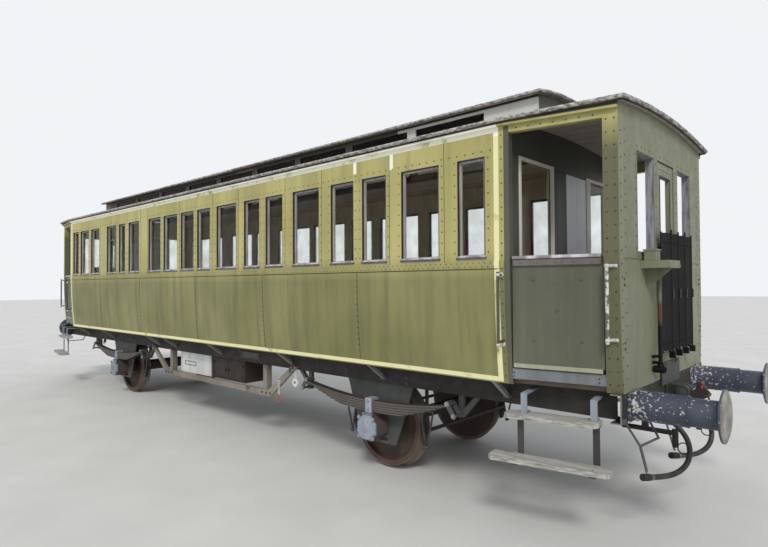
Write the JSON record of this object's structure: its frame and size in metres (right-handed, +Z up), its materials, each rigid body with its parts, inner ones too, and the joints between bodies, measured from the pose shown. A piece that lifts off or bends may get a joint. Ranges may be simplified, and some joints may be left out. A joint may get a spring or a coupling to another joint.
{
  "type": "two-axle passenger coach with clerestory roof",
  "caption": "Old railway coach on two axles: arched roof with raised clerestory, rows of side windows, open end platforms, leaf springs, side buffers and step boards.",
  "frame": {"origin": "Midway between the two axles on the centre line, at the height of the wheel flange tips that it stands on.", "axes": "+X runs along the coach towards the end nearest in the picture, +Y to its other side, +Z up."},
  "size_m": [13.106, 3.0352, 3.8648],
  "materials": {
    "side_steel": "sun-faded yellow-green coach paint on steel panels, chalky, with grey streaks",
    "end_steel": "grey-green paint on steel end sheets, dull",
    "roof_cover": "weathered grey-brown roof covering",
    "clerestory_paint": "off-white paint on the clerestory boards",
    "underframe_steel": "dirty black-brown underframe paint with rust",
    "wheel_steel": "rust-brown wheel steel, treads brighter",
    "axlebox_iron": "blue-grey paint over cast iron, worn",
    "spring_steel": "oily dark spring steel",
    "buffer_steel": "blue-grey buffer paint with pale flakes",
    "sash_wood": "grey painted hardwood sashes",
    "varnished_wood": "varnished slatted hardwood",
    "floor_wood": "worn floor boards",
    "step_wood": "bleached grey step boards",
    "pane_glass": "clear window glass, dusty",
    "gate_steel": "black gloss paint on folded sheet",
    "handrail_steel": "pale painted handrails",
    "box_paint": "pale grey painted box",
    "equipment_paint": "dark brown painted box",
    "hose_rubber": "black rubber hose, slightly dusty"
  },
  "bodies": {
    "coach": {"air_reservoir": "underframe_steel", "axleboxes": "axlebox_iron", "battery_box": "box_paint", "belt_rails": "side_steel", "bench_backs": "varnished_wood", "bench_seats": "varnished_wood", "body_brackets": "underframe_steel", "brake_gear": "underframe_steel", "brake_hoses": "hose_rubber", "buffer_casings": "buffer_steel", "buffer_heads": "buffer_steel", "bulkheads": "end_steel", "clerestory_roof": "roof_cover", "clerestory_walls": "clerestory_paint", "cross_members": "underframe_steel", "draw_gear": "underframe_steel", "eave_rails": "side_steel", "end_pipes": "underframe_steel", "end_walls": "end_steel", "equipment_box": "equipment_paint", "floor_deck": "floor_wood", "gangway_gates": "gate_steel", "grip_handles": "handrail_steel", "handrails": "handrail_steel", "headstocks": "underframe_steel", "hinge_lugs": "underframe_steel", "horn_guides": "underframe_steel", "hose_heads": "underframe_steel", "lamp_shelves": "end_steel", "main_roof": "roof_cover", "platform_posts": "side_steel", "platform_rails": "side_steel", "side_wall_left": "side_steel", "side_wall_right": "side_steel", "sole_bars": "underframe_steel", "spring_shackles": "spring_steel", "springs": "spring_steel", "step_boards": "step_wood", "step_irons": "underframe_steel", "truss_frames": "underframe_steel", "window_glass": "pane_glass", "window_sashes": "sash_wood"},
    "wheelset_near": {"wheels_near": "wheel_steel", "axle_near": "wheel_steel"},
    "wheelset_far": {"wheels_far": "wheel_steel", "axle_far": "wheel_steel"},
    "end_door_near": {"end_door_near": "end_steel"},
    "end_door_far": {"end_door_far": "end_steel"},
    "bulkhead_door_near": {"bulkhead_door_near": "varnished_wood"},
    "bulkhead_door_far": {"bulkhead_door_far": "varnished_wood"},
    "half_door_near_right": {"half_door_near_right": "side_steel"},
    "half_door_near_left": {"half_door_near_left": "side_steel"},
    "half_door_far_right": {"half_door_far_right": "side_steel"},
    "half_door_far_left": {"half_door_far_left": "side_steel"},
    "fall_plate_near": {"fall_plate_near": "underframe_steel"},
    "fall_plate_far": {"fall_plate_far": "underframe_steel"}
  },
  "joints": [
    {"name": "wheelset_near_turn", "type": "hinge", "parent": "coach", "child": "wheelset_near", "pos_m": [3.275, 0, 0.498], "axis": [0, 1, 0], "continuous": true},
    {"name": "wheelset_far_turn", "type": "hinge", "parent": "coach", "child": "wheelset_far", "pos_m": [-3.275, 0, 0.498], "axis": [0, 1, 0], "continuous": true},
    {"name": "end_door_near_swing", "type": "hinge", "parent": "coach", "child": "end_door_near", "pos_m": [5.872, 0.231, 0], "axis": [0, 0, -1], "range_deg": [0, 88]},
    {"name": "end_door_far_swing", "type": "hinge", "parent": "coach", "child": "end_door_far", "pos_m": [-5.872, -0.231, 0], "axis": [0, 0, -1], "range_deg": [0, 88]},
    {"name": "bulkhead_door_near_swing", "type": "hinge", "parent": "coach", "child": "bulkhead_door_near", "pos_m": [5.009, 0.331, 0], "axis": [0, 0, -1], "range_deg": [0, 88]},
    {"name": "bulkhead_door_far_swing", "type": "hinge", "parent": "coach", "child": "bulkhead_door_far", "pos_m": [-5.009, -0.331, 0], "axis": [0, 0, -1], "range_deg": [0, 88]},
    {"name": "half_door_near_right_swing", "type": "hinge", "parent": "coach", "child": "half_door_near_right", "pos_m": [5.09332, 1.22778, 0], "axis": [0, 0, -1], "range_deg": [0, 75]},
    {"name": "half_door_near_left_swing", "type": "hinge", "parent": "coach", "child": "half_door_near_left", "pos_m": [5.09332, -1.22778, 0], "axis": [0, 0, 1], "range_deg": [0, 75]},
    {"name": "half_door_far_right_swing", "type": "hinge", "parent": "coach", "child": "half_door_far_right", "pos_m": [-5.09332, 1.22778, 0], "axis": [0, 0, 1], "range_deg": [0, 75]},
    {"name": "half_door_far_left_swing", "type": "hinge", "parent": "coach", "child": "half_door_far_left", "pos_m": [-5.09332, -1.22778, 0], "axis": [0, 0, -1], "range_deg": [0, 75]},
    {"name": "fall_plate_near_lift", "type": "hinge", "parent": "coach", "child": "fall_plate_near", "pos_m": [5.946, 0, 1.318], "axis": [0, -1, 0], "range_deg": [0, 90]},
    {"name": "fall_plate_far_lift", "type": "hinge", "parent": "coach", "child": "fall_plate_far", "pos_m": [-5.946, 0, 1.318], "axis": [0, 1, 0], "range_deg": [0, 90]}
  ]
}
